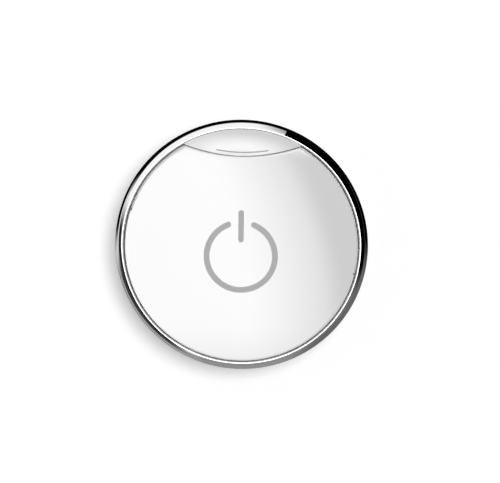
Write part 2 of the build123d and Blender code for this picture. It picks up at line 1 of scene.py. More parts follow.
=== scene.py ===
from math import atan2, cos, pi, radians, sin, sqrt, tan, tau

import bmesh
import bpy
from bmesh.types import BMEdge, BMVert
from bpy.props import FloatProperty, FloatVectorProperty, IntProperty, PointerProperty
from mathutils import Matrix, Vector


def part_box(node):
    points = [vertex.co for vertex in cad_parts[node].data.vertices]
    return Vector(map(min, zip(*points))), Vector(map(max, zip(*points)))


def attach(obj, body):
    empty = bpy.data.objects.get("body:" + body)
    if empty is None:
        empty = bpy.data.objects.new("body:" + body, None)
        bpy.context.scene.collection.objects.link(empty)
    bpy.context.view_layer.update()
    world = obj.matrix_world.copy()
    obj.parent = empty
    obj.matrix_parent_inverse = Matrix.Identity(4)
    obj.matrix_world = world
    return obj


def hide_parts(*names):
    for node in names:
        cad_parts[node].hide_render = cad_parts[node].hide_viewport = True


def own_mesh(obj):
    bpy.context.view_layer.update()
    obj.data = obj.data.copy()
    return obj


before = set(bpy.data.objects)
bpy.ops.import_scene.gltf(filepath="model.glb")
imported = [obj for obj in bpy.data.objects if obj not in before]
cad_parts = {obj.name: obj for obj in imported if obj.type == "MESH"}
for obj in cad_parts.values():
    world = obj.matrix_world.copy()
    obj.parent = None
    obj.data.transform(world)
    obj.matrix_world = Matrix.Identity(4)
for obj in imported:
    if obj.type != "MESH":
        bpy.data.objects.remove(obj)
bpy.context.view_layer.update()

bl_info = {
    "name": "Round lock remote",
    "version": (1, 0, 0),
    "blender": (4, 5, 0),
    "location": "View3D > Sidebar > Remote",
    "description": "Builds the visible pieces of a round remote over its solid frame",
    "category": "Add Mesh",
}

MM = 0.001
Z_AXIS = Vector((0, 0, 1))
WHITE = (1.0, 1.0, 1.0, 1.0)
ACROSS = (-0.5, -0.25, 0.0, 0.25, 0.5)  # Points across a flat strip, in shares of its width

cap_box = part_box("front_cap")
ring_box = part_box("chrome_ring")
foot_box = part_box("foot_ring")


# Sizes and colours that a user may change


def length(name, text, value):
    """A length in metres, shown in the panel with its unit."""
    return FloatProperty(name=name, description=text, default=value, unit="LENGTH", precision=5)


def turn(name, text, value):
    """An angle in radians, given here in degrees."""
    return FloatProperty(name=name, description=text, default=radians(value), subtype="ANGLE")


def tint(name, text, value):
    """A colour of three linear values."""
    return FloatVectorProperty(
        name=name, description=text, default=value, size=3, subtype="COLOR", min=0.0, max=1.0
    )


def count(name, text, value):
    """A whole number, such as the steps round a curve."""
    return IntProperty(name=name, description=text, default=value, min=3)


class RemoteCap(bpy.types.PropertyGroup):
    """The domed press cap and the symbol in it."""

    radius: length("Radius", "Outer radius of the cap", cap_box[1].x)
    crown: length("Crown", "Height of the middle of the face", cap_box[1].z)
    rise: length("Dome rise", "Rise of the face from its rim to its middle", 1.0 * MM)
    thickness: length("Thickness", "Wall under the face", 1.1 * MM)
    edge: length("Edge radius", "Rounding of the rim on the scoop's side", 0.32 * MM)
    low_edge: length("Lower edge radius", "Rounding of the rim beyond the notches", 0.12 * MM)
    scoop_edge: length("Scoop edge radius", "Rounding of the edge beside the scoop", 0.16 * MM)
    corner: length("Corner radius", "Rounding of the two points beside the scoop", 0.5 * MM)
    notch_turn: turn("Notch angle", "Direction of the line through both notches", 164.6)
    notch_shift: length("Notch shift", "Shift of that line towards the scoop", 0.86 * MM)
    notch_width: length("Notch width", "Width of each rim notch", 0.4 * MM)
    notch_depth: length("Notch depth", "Depth of each rim notch", 0.2 * MM)
    post: length("Post radius", "Radius of the post that works the switch", 1.5 * MM)
    symbol_radius: length("Symbol radius", "Middle line of the broken circle", 5.66 * MM)
    symbol_stroke: length("Symbol stroke", "Width of the broken circle's line", 0.96 * MM)
    symbol_gap: turn("Symbol gap", "Angle left open at the top of the circle", 44.0)
    symbol_drop: length("Symbol drop", "How far the symbol sits below the middle", 1.45 * MM)
    bar_low: length("Bar start", "Lower end of the bar above the circle's middle", 2.32 * MM)
    bar_high: length("Bar end", "Upper end of the bar above the circle's middle", 7.7 * MM)
    bar_width: length("Bar width", "Width of the bar", 0.9 * MM)
    round_steps: count("Steps round", "Steps round the rim", 288)


class RemoteScoop(bpy.types.PropertyGroup):
    """The thumb scoop and the light slit in it."""

    rim: length("Rim radius", "Radius of the scoop's outer edge", 19.5 * MM)
    seat: length("Seat", "Height of the scoop's underside", 7.4 * MM)
    smile_radius: length("Smile radius", "Radius of the seam between scoop and cap", 29.1 * MM)
    smile_centre: length("Smile centre", "Distance of its centre from the middle", 44.25 * MM)
    seam: length("Seam", "Gap between scoop and cap", 0.085 * MM)
    inner: length("Inner reach", "Radius at which the hollow begins", 14.6 * MM)
    outer: length("Outer reach", "Radius at which the hollow ends", 19.58 * MM)
    inner_drop: length("Inner drop", "Step from the cap's face down to the hollow", 0.1 * MM)
    outer_height: length("Outer height", "Height of the hollow at the ring", 8.25 * MM)
    sag: length("Sag", "Depth of the hollow below its chord", 0.26 * MM)
    slit_offset: length("Slit offset", "Distance of the slit from the seam", 0.6 * MM)
    slit_width: length("Slit width", "Width of the light slit", 0.2 * MM)
    slit_reach: length("Slit reach", "Half the length of the light slit", 4.25 * MM)


class RemoteRing(bpy.types.PropertyGroup):
    """The bright ring round the face."""

    inner: length("Inner radius", "Radius of the bore", 19.505 * MM)
    outer: length("Outer radius", "Largest radius", ring_box[1].x)
    crest: length("Crest", "Height of the highest line", ring_box[1].z)
    foot: length("Foot", "Height of the lower edge", ring_box[0].z)
    bevel: length("Bore bevel", "Width and height of the bevel at the bore", 0.06 * MM)
    land: length("Land", "Width of the narrow inner land", 0.235 * MM)
    land_drop: length("Land drop", "Fall of the land towards the bore", 0.095 * MM)
    wall_drop: length("Wall drop", "Depth of the widest line below the crest", 1.15 * MM)
    flank_start: turn("Flank start", "Slope of the flank beside the land", 30.0)
    nose: length("Nose", "Rounding of the widest line", 0.14 * MM)
    undercut: length("Undercut", "How far the wall leans in at its foot", 0.8 * MM)
    round_steps: count("Steps round", "Steps round the ring", 384)


class RemoteFoot(bpy.types.PropertyGroup):
    """The rubber ring that the remote rests on."""

    inner: length("Inner radius", "Inner radius of the rubber ring", 13.8 * MM)
    outer: length("Outer radius", "Outer radius of the rubber ring", foot_box[1].x)
    edge: length("Edge radius", "Rounding of the two lower edges", 0.2 * MM)
    grooves: count("Grooves", "Number of grip grooves", 3)
    groove_width: length("Groove width", "Width of each grip groove", 0.24 * MM)
    groove_depth: length("Groove depth", "Depth of each grip groove", 0.1 * MM)
    round_steps: count("Steps round", "Steps round the ring", 192)


class RemoteColours(bpy.types.PropertyGroup):
    """Colours of the finishes."""

    face: tint("Face", "Gloss white of the cap", (0.64, 0.64, 0.64))
    # The thumb scoop's colour is painted shading: greyer towards the ring as painted shade, whiter
    # in its middle as painted light
    scoop: tint("Scoop", "Milky white of the thumb scoop", (0.535, 0.535, 0.535))
    scoop_painted_light: tint("Scoop middle", "Whiter middle of the thumb scoop", (0.9, 0.9, 0.9))
    symbol: tint("Symbol", "Grey of the symbol", (0.42, 0.42, 0.42))
    slit: tint("Slit", "Smoke grey of the light slit", (0.34, 0.34, 0.34))
    ring: tint("Ring", "Bright plating of the ring", (0.90, 0.90, 0.90))
    shell: tint("Shell", "White of the rear shell and door", (0.66, 0.66, 0.66))
    rubber: tint("Rubber", "Grey of the foot ring", (0.12, 0.12, 0.125))
    board: tint("Board", "Green of the circuit board", (0.02, 0.16, 0.06))
    track: tint("Track", "Paler green over the board's copper tracks", (0.05, 0.26, 0.11))
    floor: tint("Floor", "Pale floor", (0.86, 0.86, 0.86))


# Mesh helpers


def face_z(cap, radius):
    """Height of the cap's face, a part of a ball, at a distance from the middle."""
    ball = (cap.radius**2 + cap.rise**2) / (2 * cap.rise)
    return cap.crown - ball + sqrt(ball**2 - radius**2)


def only(kind, geom):
    """The items of one kind in what an operator gave."""
    return [item for item in geom if isinstance(item, kind)]


def spin(bm, geom, centre, angle, steps, merge=False):
    """Turns vertices and edges about an upright line, and gives what stands at the end."""
    return bmesh.ops.spin(
        bm, geom=geom, cent=centre, axis=Z_AXIS, angle=angle, steps=steps,
        use_duplicate=False, use_merge=merge,
    )["geom_last"]


def spin_vert(bm, vert, centre, angle, steps):
    """Draws an arc of edges from one vertex, and gives the vertex at its end."""
    return only(BMVert, spin(bm, [vert], centre, angle, steps))[0]


def next_loop(bm, loop, place_for):
    """Extrudes a loop of edges and moves each new vertex to the place that place_for gives."""
    made = bmesh.ops.extrude_edge_only(bm, edges=loop)["geom"]
    fresh = set(only(BMVert, made))
    for vert in fresh:
        vert.co = place_for(vert.co)
    return [edge for edge in only(BMEdge, made) if all(vert in fresh for vert in edge.verts)]


def second_layer(bm, faces):
    """Extrudes faces into a closed piece that has no height yet, and gives the new vertices."""
    made = bmesh.ops.extrude_face_region(bm, geom=faces, use_keep_orig=True)["geom"]
    return set(only(BMVert, made))


def revolve(bm, profile, steps, closed=True):
    """Turns a line of radii and heights once round the object's axis."""
    verts = [bm.verts.new((x, 0, z)) for x, z in profile]
    ends = verts[1:] + verts[:1] if closed else verts[1:]
    edges = [bm.edges.new(pair) for pair in zip(verts, ends)]
    spin(bm, verts + edges, (0, 0, 0), tau, steps, merge=True)


def soften(bm, edges, offset, segments):
    """Rounds edges with a bevel."""
    bmesh.ops.bevel(
        bm, geom=edges, offset=offset, affect="EDGES", segments=segments, profile=0.5, material=-1
    )


def strip_line(bm, middle, out, shares):
    """Vertices and edges across a strip; out is the way across, as long as the strip is wide."""
    verts = [bm.verts.new(middle + out * share) for share in shares]
    return verts + [bm.edges.new(pair) for pair in zip(verts, verts[1:])]


def half_disc(bm, hub, out, side):
    """The round end of a strip: the outer half of a line across it, turned about its middle."""
    half = strip_line(bm, hub, out, ACROSS[2:])
    spin(bm, half, hub, side * pi, steps=12)


def arc_slot(bm, centre, radius, start, sweep, width, steps):
    """A flat strip of faces along an arc, with round ends."""
    centre = Vector((*centre, 0))
    outs = [Vector((cos(turned), sin(turned), 0)) for turned in (start, start + sweep)]
    line = strip_line(bm, centre + radius * outs[0], width * outs[0], ACROSS)
    for out, side in zip(outs, (-1, 1)):
        half_disc(bm, centre + radius * out, width * out, side)
    spin(bm, line, centre, sweep, steps)


def straight_slot(bm, low, high, width, steps):
    """A flat strip of faces along Y, with round ends."""
    hubs = [Vector((0, place, 0)) for place in (low + width / 2, high - width / 2)]
    out = Vector((width, 0, 0))
    line = only(BMEdge, strip_line(bm, hubs[0], out, ACROSS))
    for hub, side in zip(hubs, (-1, 1)):
        half_disc(bm, hub, out, side)
    run = (hubs[1] - hubs[0]) / steps
    for step in range(steps):
        line = next_loop(bm, line, lambda place: place + run)


def drape(bm, depth, lift, height_at):
    """Turns a flat strip into a thin closed piece that follows a surface."""
    bmesh.ops.remove_doubles(bm, verts=bm.verts[:], dist=0.002 * MM)
    upper = second_layer(bm, bm.faces[:])
    for vert in bm.verts:
        top = height_at(vert.co) + lift
        vert.co.z = top if vert in upper else top - depth


def finish_mesh(name, bm, material, sharp=35.0):
    """Makes an object of a bmesh, with outward faces and smooth shading between sharp edges."""
    touching = 0.0004 * MM
    bmesh.ops.remove_doubles(bm, verts=bm.verts[:], dist=touching)
    bmesh.ops.dissolve_degenerate(bm, edges=bm.edges[:], dist=touching)
    bmesh.ops.recalc_face_normals(bm, faces=bm.faces[:])
    mesh = bpy.data.meshes.new(name)
    bm.to_mesh(mesh)
    bm.free()
    mesh.polygons.foreach_set("use_smooth", [True] * len(mesh.polygons))
    mesh.set_sharp_from_angle(angle=radians(sharp))
    mesh.materials.append(material)
    piece = bpy.data.objects.new(name, mesh)
    bpy.context.scene.collection.objects.link(piece)
    return piece


# Material helpers


def preset(node, values):
    """Sets inputs of a node by their labels."""
    for label, value in values.items():
        node.inputs[label].default_value = value


def object_place(tree):
    """The place on the object, in its own coordinates."""
    return tree.nodes.new("ShaderNodeTexCoord").outputs["Object"]


def vector_math(tree, operation, vector):
    """A Vector Math node on one link."""
    node = tree.nodes.new("ShaderNodeVectorMath")
    node.operation = operation
    tree.links.new(vector, node.inputs[0])
    return node


def feed(tree, value, socket):
    """Links a value to an input, or sets the input where the value is a plain number."""
    if isinstance(value, (int, float)):
        socket.default_value = value
    else:
        tree.links.new(value, socket)


def math(tree, operation, first, second=0.0, clamp=False):
    """A Math node on links or plain numbers; gives its output."""
    node = tree.nodes.new("ShaderNodeMath")
    node.operation = operation
    node.use_clamp = clamp
    feed(tree, first, node.inputs[0])
    feed(tree, second, node.inputs[1])
    return node.outputs[0]


def ramp(tree, value, low, high):
    """A smooth step from 0 at low to 1 at high; low may be above high."""
    node = tree.nodes.new("ShaderNodeMapRange")
    node.interpolation_type = "SMOOTHSTEP"
    tree.links.new(value, node.inputs["Value"])
    start, end = (0.0, 1.0) if low < high else (1.0, 0.0)
    preset(node, {
        "From Min": min(low, high), "From Max": max(low, high), "To Min": start, "To Max": end,
    })
    return node.outputs["Result"]


def surface_group():
    """Shared finish detail: slow colour drift, fine grain, shallow waves and faint scratches."""
    name = "moulded_surface"
    if name in bpy.data.node_groups:
        return bpy.data.node_groups[name]
    group = bpy.data.node_groups.new(name, "ShaderNodeTree")
    defaults = {
        "Colour": (0.5, 0.5, 0.5, 1.0), "Drift": 0.02, "Grain Scale": 6000.0, "Grain": 0.2,
        "Wave Scale": 220.0, "Wave": 0.2, "Roughness": 0.2, "Roughness Spread": 0.05,
        "Scratches": 0.04,
    }
    for way, labels in (("INPUT", defaults), ("OUTPUT", ("Colour", "Roughness", "Height"))):
        for label in labels:
            kind = "NodeSocketColor" if label == "Colour" else "NodeSocketFloat"
            socket = group.interface.new_socket(name=label, in_out=way, socket_type=kind)
            if way == "INPUT":
                socket.default_value = defaults[label]
    given = group.nodes.new("NodeGroupInput")
    result = group.nodes.new("NodeGroupOutput")
    place = object_place(group)
    links = group.links

    def noise(scale, detail, rough=0.5, stretch=None):
        """Noise over the object, drawn out along a slanted line where it has a stretch."""
        source = place
        if stretch:
            mapping = group.nodes.new("ShaderNodeMapping")
            preset(mapping, {"Scale": stretch, "Rotation": (0.0, 0.0, 0.6)})
            links.new(place, mapping.inputs["Vector"])
            source = mapping.outputs["Vector"]
        node = group.nodes.new("ShaderNodeTexNoise")
        links.new(source, node.inputs["Vector"])
        feed(group, scale, node.inputs["Scale"])
        preset(node, {"Detail": detail, "Roughness": rough})
        return node.outputs["Fac"]

    drift = math(group, "SUBTRACT", noise(90.0, detail=3.0), 0.5)
    drift = math(group, "MULTIPLY", drift, given.outputs["Drift"])
    drift = math(group, "MULTIPLY", drift, 2.0)
    drift = math(group, "ADD", drift, 1.0)
    scaled = vector_math(group, "SCALE", given.outputs["Colour"])
    links.new(drift, scaled.inputs["Scale"])
    links.new(scaled.outputs[0], result.inputs["Colour"])

    grain = noise(given.outputs["Grain Scale"], detail=2.0)
    wave = noise(given.outputs["Wave Scale"], detail=1.0)
    scratch = noise(700.0, detail=2.0, rough=0.6, stretch=(1.0, 26.0, 4.0))
    scratch = ramp(group, scratch, 0.66, 0.74)
    scratch = math(group, "MULTIPLY", scratch, given.outputs["Scratches"])
    height = math(group, "MULTIPLY", grain, given.outputs["Grain"])
    height = math(group, "ADD", height, math(group, "MULTIPLY", wave, given.outputs["Wave"]))
    height = math(group, "SUBTRACT", height, math(group, "MULTIPLY", scratch, 0.3))
    links.new(height, result.inputs["Height"])

    cloud = math(group, "SUBTRACT", noise(160.0, detail=4.0, rough=0.6), 0.5)
    rough = math(group, "MULTIPLY", cloud, given.outputs["Roughness Spread"])
    rough = math(group, "ADD", rough, given.outputs["Roughness"])
    rough = math(group, "ADD", rough, math(group, "MULTIPLY", scratch, 0.25), clamp=True)
    links.new(rough, result.inputs["Roughness"])
    return group


def finish(name, colour, roughness, bump, bump_depth=0.01 * MM, metal=0.0, coat=0.0, **detail):
    """A material of the shared surface detail, with its own values."""
    material = bpy.data.materials.new(name)
    material.use_nodes = True
    tree = material.node_tree
    shader = tree.nodes["Principled BSDF"]
    surface = tree.nodes.new("ShaderNodeGroup")
    surface.node_tree = surface_group()
    preset(surface, {"Colour": (*colour, 1.0), "Roughness": roughness})
    preset(surface, {key.replace("_", " ").title(): value for key, value in detail.items()})
    bump_node = tree.nodes.new("ShaderNodeBump")
    preset(bump_node, {"Strength": bump, "Distance": bump_depth})
    tree.links.new(surface.outputs["Colour"], shader.inputs["Base Color"])
    tree.links.new(surface.outputs["Roughness"], shader.inputs["Roughness"])
    tree.links.new(surface.outputs["Height"], bump_node.inputs["Height"])
    tree.links.new(bump_node.outputs["Normal"], shader.inputs["Normal"])
    preset(shader, {"Metallic": metal, "Coat Weight": coat, "Coat IOR": 1.6})
    return material


def blend_colours(tree, share, first, second):
    """Gives a finish a colour between two, by a share from 0 to 1."""
    mix = tree.nodes.new("ShaderNodeMix")
    mix.data_type = "RGBA"
    preset(mix, {"A": (*first, 1.0), "B": (*second, 1.0)})
    tree.links.new(share, mix.inputs["Factor"])
    surface = next(node for node in tree.nodes if node.type == "GROUP")
    tree.links.new(mix.outputs["Result"], surface.inputs["Colour"])


def dress(node, material):
    """Gives a solid of the frame its finish."""
    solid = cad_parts[node]
    solid.data.materials.clear()
    solid.data.materials.append(material)


# Pieces of the face


class REMOTE_OT_press_cap(bpy.types.Operator):
    """Build the domed press cap with its edge rounding, rim notches, post and snap hooks"""

    bl_idname = "remote.press_cap"
    bl_label = "Press cap"

    def outline(self, bm, cap, scoop, corner, side, lean):
        """The cap's outline as one closed loop of edges: rim, corner, scoop side, corner."""
        first = bm.verts.new((cap.radius * cos(side), cap.radius * sin(side), 0))
        corner_sweep, corner_steps = -(pi - side - lean), 8
        end = spin_vert(bm, first, (0, 0, 0), -(pi + 2 * side), cap.round_steps)
        end = spin_vert(bm, end, (-corner.x, corner.y, 0), corner_sweep, corner_steps)
        end = spin_vert(bm, end, (0, scoop.smile_centre, 0), pi - 2 * lean, cap.round_steps // 3)
        end = spin_vert(bm, end, (corner.x, corner.y, 0), corner_sweep, corner_steps)
        bmesh.ops.weld_verts(bm, targetmap={end: first})
        return bm.edges[:]

    def execute(self, context):
        scene = context.scene
        cap, scoop = scene.remote_cap, scene.remote_scoop
        bm = bmesh.new()
        lift = -0.02 * MM  # Keeps the face a hair inside the solid's box
        # The rounded points of the outline: their centre, and the angles where they begin and end
        reach = cap.radius - cap.corner
        away = scoop.smile_radius + scoop.seam / 2 + cap.corner
        corner_y = (reach**2 - away**2 + scoop.smile_centre**2) / (2 * scoop.smile_centre)
        corner = Vector((sqrt(reach**2 - corner_y**2), corner_y))
        side = atan2(corner.y, corner.x)
        lean = atan2(scoop.smile_centre - corner.y, corner.x)

        def rim_edge(turned):
            """Edge radius at an angle on the rim, which falls at the notches."""
            past = cap.radius * sin(cap.notch_turn - turned) - cap.notch_shift
            share = min(1.0, max(0.0, past / cap.notch_width + 0.5))
            return cap.low_edge + (cap.edge - cap.low_edge) * share

        def inward(place):
            """Direction from the outline towards the inside, and the edge radius there."""
            flat = Vector((abs(place.x), place.y))
            if atan2(flat.y, flat.x) <= side:
                way, edge = -flat.normalized(), rim_edge(atan2(place.y, place.x))
            elif atan2(scoop.smile_centre - flat.y, flat.x) >= lean:
                way, edge = (flat - Vector((0, scoop.smile_centre))).normalized(), cap.scoop_edge
            else:
                out = flat - corner
                share = (atan2(out.y, out.x) - side) / (pi - side - lean)
                full = rim_edge(side if place.x > 0 else pi - side)
                way, edge = -out.normalized(), full + (cap.scoop_edge - full) * share
            return Vector((way.x if place.x > 0 else -way.x, way.y, 0)), edge

        def on_face(place, depth):
            """The same place at a depth under the face."""
            radius = min(place.to_2d().length, cap.radius)
            return Vector((place.x, place.y, face_z(cap, radius) - depth + lift))

        start = self.outline(bm, cap, scoop, corner, side, lean)
        for vert in bm.verts:
            vert.co = on_face(vert.co, inward(vert.co)[1])
        upper = start
        rounds = 7
        for step in range(rounds):
            before, after = radians(90) * step / rounds, radians(90) * (step + 1) / rounds

            def rounded(place):
                way, edge = inward(place)
                shift = way * edge * (cos(before) - cos(after))
                return on_face(place + shift, edge * (1 - sin(after)))

            upper = next_loop(bm, upper, rounded)
        lower = next_loop(bm, start, lambda place: on_face(place, cap.thickness))
        # Face and underside: loops in shares of the outline, and a middle point
        shares = (1.0, 0.985, 0.96, 0.925, 0.88, 0.82, 0.745, 0.66, 0.56, 0.45, 0.33, 0.21, 0.1)
        for loop, depth in ((upper, 0.0), (lower, cap.thickness)):
            for last, share in zip(shares, shares[1:]):
                loop = next_loop(bm, loop, lambda place: on_face(place * (share / last), depth))
            ring = bmesh.ops.contextual_create(bm, geom=loop)["faces"]
            for vert in bmesh.ops.poke(bm, faces=ring)["verts"]:
                vert.co.z = cap.crown - depth + lift
        self.cut_notches(bm, cap)
        self.add_post_and_hooks(bm, cap)
        gloss = finish(
            "face_white", scene.remote_colours.face, 0.06, bump=0.15, bump_depth=0.004 * MM,
            coat=1.0, drift=0.006, grain=0.05, wave=0.4, wave_scale=260.0, roughness_spread=0.02,
        )
        piece = finish_mesh("press_cap", bm, gloss)
        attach(piece, "cap")
        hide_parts("front_cap")
        return {"FINISHED"}

    def cut_notches(self, bm, cap):
        """Two small slots across the rim, at both ends of one line."""
        along = Vector((cos(cap.notch_turn), sin(cap.notch_turn), 0))
        across = Z_AXIS.cross(along)
        middle, half, wall = -cap.notch_shift, cap.notch_width / 2, 0.03 * MM
        floor = cap.radius - cap.notch_depth
        # Cuts the faces near the notches along both walls, then moves what lies between them in
        for place in (-half, -half + wall, half - wall, half):
            near = [
                face for face in bm.faces
                if abs(face.calc_center_median().dot(across) - middle) < 2 * cap.notch_width
                and abs(face.calc_center_median().dot(along)) > 0.9 * cap.radius
            ]
            geom = {item for face in near for item in (face, *face.edges, *face.verts)}
            bmesh.ops.bisect_plane(
                bm, geom=list(geom), plane_co=across * (middle + place), plane_no=across, dist=1e-8
            )
        for vert in bm.verts:
            reach = vert.co.dot(along)
            if abs(vert.co.dot(across) - middle) < half - wall / 2 and abs(reach) > floor:
                vert.co += along * ((floor if reach > 0 else -floor) - reach)

    def add_post_and_hooks(self, bm, cap):
        """The post over the switch and the four snap hooks, under the face."""
        root, tip = face_z(cap, 0) - cap.thickness, 8.3 * MM
        post = bmesh.ops.create_cone(
            bm, cap_ends=True, segments=48, radius1=cap.post, radius2=cap.post, depth=root - tip,
            matrix=Matrix.Translation((0, 0, (root + tip) / 2)),
        )["verts"]
        lower = {vert for vert in post if vert.co.z < root - 0.1 * MM}
        rims = [edge for edge in bm.edges if all(vert in lower for vert in edge.verts)]
        soften(bm, rims, 0.15 * MM, segments=2)
        # A hook's outline: a leg that reaches up into the cap's wall, and a lip at its foot
        leg_out, leg_in, lip_in, width = 17.8 * MM, 17.15 * MM, 16.65 * MM, 3.0 * MM
        low, high = cap_box[0].z, face_z(cap, leg_out) - cap.thickness + 0.2 * MM
        lip = low + 0.45 * MM
        outline = (
            (leg_out, low), (leg_out, high), (leg_in, high),
            (leg_in, lip), (lip_in, lip), (lip_in, low),
        )
        for step in range(4):
            turned = Matrix.Rotation(pi + step * radians(60), 3, "Z")
            corners = [bm.verts.new(turned @ Vector((x, -width / 2, z))) for x, z in outline]
            moved = second_layer(bm, [bm.faces.new(corners)])
            bmesh.ops.translate(bm, verts=list(moved), vec=turned @ Vector((0, width, 0)))


class REMOTE_OT_symbol(bpy.types.Operator):
    """Build the broken circle and the bar, flush in the cap"""

    bl_idname = "remote.symbol"
    bl_label = "Symbol"

    def execute(self, context):
        scene = context.scene
        cap = scene.remote_cap
        bm = bmesh.new()
        start = radians(90) + cap.symbol_gap / 2
        sweep = tau - cap.symbol_gap
        middle, width = (0, -cap.symbol_drop), cap.symbol_stroke
        arc_slot(bm, middle, cap.symbol_radius, start, sweep, width, steps=160)
        low, high = cap.bar_low - cap.symbol_drop, cap.bar_high - cap.symbol_drop
        straight_slot(bm, low, high, cap.bar_width, steps=10)
        depth, lift = 0.12 * MM, -0.001 * MM
        drape(bm, depth, lift, lambda place: face_z(cap, place.to_2d().length))
        material = finish(
            "symbol_grey", scene.remote_colours.symbol, 0.55, bump=0.15, bump_depth=0.003 * MM,
            drift=0.01, grain=0.3, wave=0.1, scratches=0.03,
        )
        piece = finish_mesh("symbol", bm, material)
        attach(piece, "cap")
        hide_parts("power_symbol")
        return {"FINISHED"}


def hollow_z(cap, scoop, radius):
    """Height of the thumb scoop's hollow at a distance from the middle."""
    start = face_z(cap, scoop.inner) - scoop.inner_drop
    share = (radius - scoop.inner) / (scoop.outer - scoop.inner)
    chord = start + (scoop.outer_height - start) * share
    return chord - 4 * scoop.sag * share * (1 - share)


class REMOTE_OT_thumb_scoop(bpy.types.Operator):
    """Build the lens-shaped hollow between cap and ring, and the light slit in it"""

    bl_idname = "remote.thumb_scoop"
    bl_label = "Thumb scoop"

    def hollow_material(self, scene):
        """Milky plastic with painted shading: whiter round the light slit as painted light, greyer
        towards the ring as painted shade.
        """
        colours = scene.remote_colours
        material = finish(
            "scoop_white", colours.scoop, 0.2, bump=0.15, bump_depth=0.004 * MM, drift=0.006,
            grain=0.1, wave=0.3, wave_scale=260.0, roughness_spread=0.03,
        )
        # The painted light is an oval: its centre, and its half width and half depth
        centre_x, centre_y, half_x, half_y = -1.2 * MM, 15.6 * MM, 9.8 * MM, 3.2 * MM
        tree = material.node_tree
        mapping = tree.nodes.new("ShaderNodeMapping")
        location = (-centre_x / half_x, -centre_y / half_y, 0.0)
        preset(mapping, {"Location": location, "Scale": (1 / half_x, 1 / half_y, 0.0)})
        tree.links.new(object_place(tree), mapping.inputs["Vector"])
        reach = vector_math(tree, "LENGTH", mapping.outputs["Vector"]).outputs["Value"]
        # Painted shading: the colour is whiter in the oval and greyer towards the ring
        share = ramp(tree, reach, 0.3, 1.2)
        blend_colours(tree, share, colours.scoop_painted_light, colours.scoop)
        return material

    def execute(self, context):
        scene = context.scene
        cap, scoop = scene.remote_cap, scene.remote_scoop
        bm = bmesh.new()
        smile = scoop.smile_radius - scoop.seam / 2
        corner_y = (scoop.rim**2 - smile**2 + scoop.smile_centre**2) / (2 * scoop.smile_centre)
        corner_x = sqrt(scoop.rim**2 - corner_y**2)
        bmesh.ops.create_grid(bm, x_segments=120, y_segments=28, size=1.0)
        for vert in bm.verts:
            x = corner_x * sin(vert.co.x * pi / 2)
            low = scoop.smile_centre - sqrt(smile**2 - x**2)
            high = sqrt(scoop.rim**2 - x**2)
            vert.co = Vector((x, low + (high - low) * (vert.co.y + 1) / 2, 0))
        bmesh.ops.remove_doubles(bm, verts=bm.verts[:], dist=0.01 * MM)
        upper = second_layer(bm, bm.faces[:])
        for vert in bm.verts:
            top = hollow_z(cap, scoop, vert.co.to_2d().length)
            vert.co.z = top if vert in upper else scoop.seat
        rims = [
            edge for edge in bm.edges
            if all(v in upper for v in edge.verts)
            and any(len({w in upper for w in face.verts}) == 2 for face in edge.link_faces)
        ]
        soften(bm, rims, 0.06 * MM, segments=2)
        piece = finish_mesh("thumb_hollow", bm, self.hollow_material(scene))
        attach(piece, "housing")
        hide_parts("thumb_scoop")

        bm = bmesh.new()
        reach = scoop.smile_radius - scoop.slit_offset
        sweep = 2 * scoop.slit_reach / reach
        start = radians(270) - sweep / 2
        middle, width = (0, scoop.smile_centre), scoop.slit_width
        arc_slot(bm, middle, reach, start, sweep, width, steps=40)
        depth, lift = 0.05 * MM, 0.006 * MM
        drape(bm, depth, lift, lambda place: hollow_z(cap, scoop, place.to_2d().length))
        smoke = finish(
            "slit_smoke", scene.remote_colours.slit, 0.45, bump=0.1, bump_depth=0.002 * MM,
            drift=0.01, wave=0.1, scratches=0.03,
        )
        slit = finish_mesh("light_slit", bm, smoke)
        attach(slit, "housing")
        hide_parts("light_guide")
        return {"FINISHED"}


class REMOTE_OT_bright_ring(bpy.types.Operator):
    """Build the plated ring with its narrow inner land, flank and leaning wall"""

    bl_idname = "remote.bright_ring"
    bl_label = "Bright ring"

    def execute(self, context):
        scene = context.scene
        ring = scene.remote_ring
        bm = bmesh.new()
        crest_x = ring.inner + ring.bevel + ring.land
        soft, land_slope = 0.04 * MM, ring.land_drop / ring.land
        land_z = ring.crest - ring.land_drop
        # The bevel and the land with softened edges, from the bore outwards
        profile = []
        for out, down in ((0.0, 1.0), (0.15, 0.7), (0.75, 0.3), (1.2, -0.05)):
            profile.append((ring.inner + out * ring.bevel, land_z - down * ring.bevel))
        profile += [(crest_x - soft, ring.crest - soft * land_slope), (crest_x, ring.crest)]
        # The flank grows steeper from the crest to the widest line
        flank = ring.outer - crest_x
        start = tan(ring.flank_start) * flank
        for share in (0.02, 0.1, 0.2, 0.3, 0.4, 0.5, 0.6, 0.7, 0.8, 0.9, 1.0):
            fall = start * share + (ring.wall_drop - start) * share**2
            profile.append((crest_x + flank * share, ring.crest - fall))
        # The wall leans in to its rounded foot; the ledge inside lies under the frame
        foot_x, ledge_x, ledge_z = ring.outer - ring.undercut, 18.98 * MM, 6.3 * MM
        for out, up in ((0.04, 0.14), (-0.02, 0.04), (-0.12, 0.0)):
            profile.append((foot_x + out * MM, ring.foot + up * MM))
        profile += [(ledge_x, ring.foot), (ledge_x, ledge_z), (ring.inner, ledge_z)]
        revolve(bm, profile, ring.round_steps)
        widest = [
            edge for edge in bm.edges
            if all(vert.co.to_2d().length > ring.outer - 0.01 * MM for vert in edge.verts)
        ]
        soften(bm, widest, ring.nose, segments=5)
        material = finish(
            "ring_plating", scene.remote_colours.ring, 0.03, bump=0.05, bump_depth=0.002 * MM,
            metal=1.0, drift=0.01, grain=0.02, wave=0.3, wave_scale=150.0, roughness_spread=0.02,
        )
        piece = finish_mesh("bright_ring", bm, material, sharp=60.0)
        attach(piece, "housing")
        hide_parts("chrome_ring")
        return {"FINISHED"}


# The back, and what lies inside


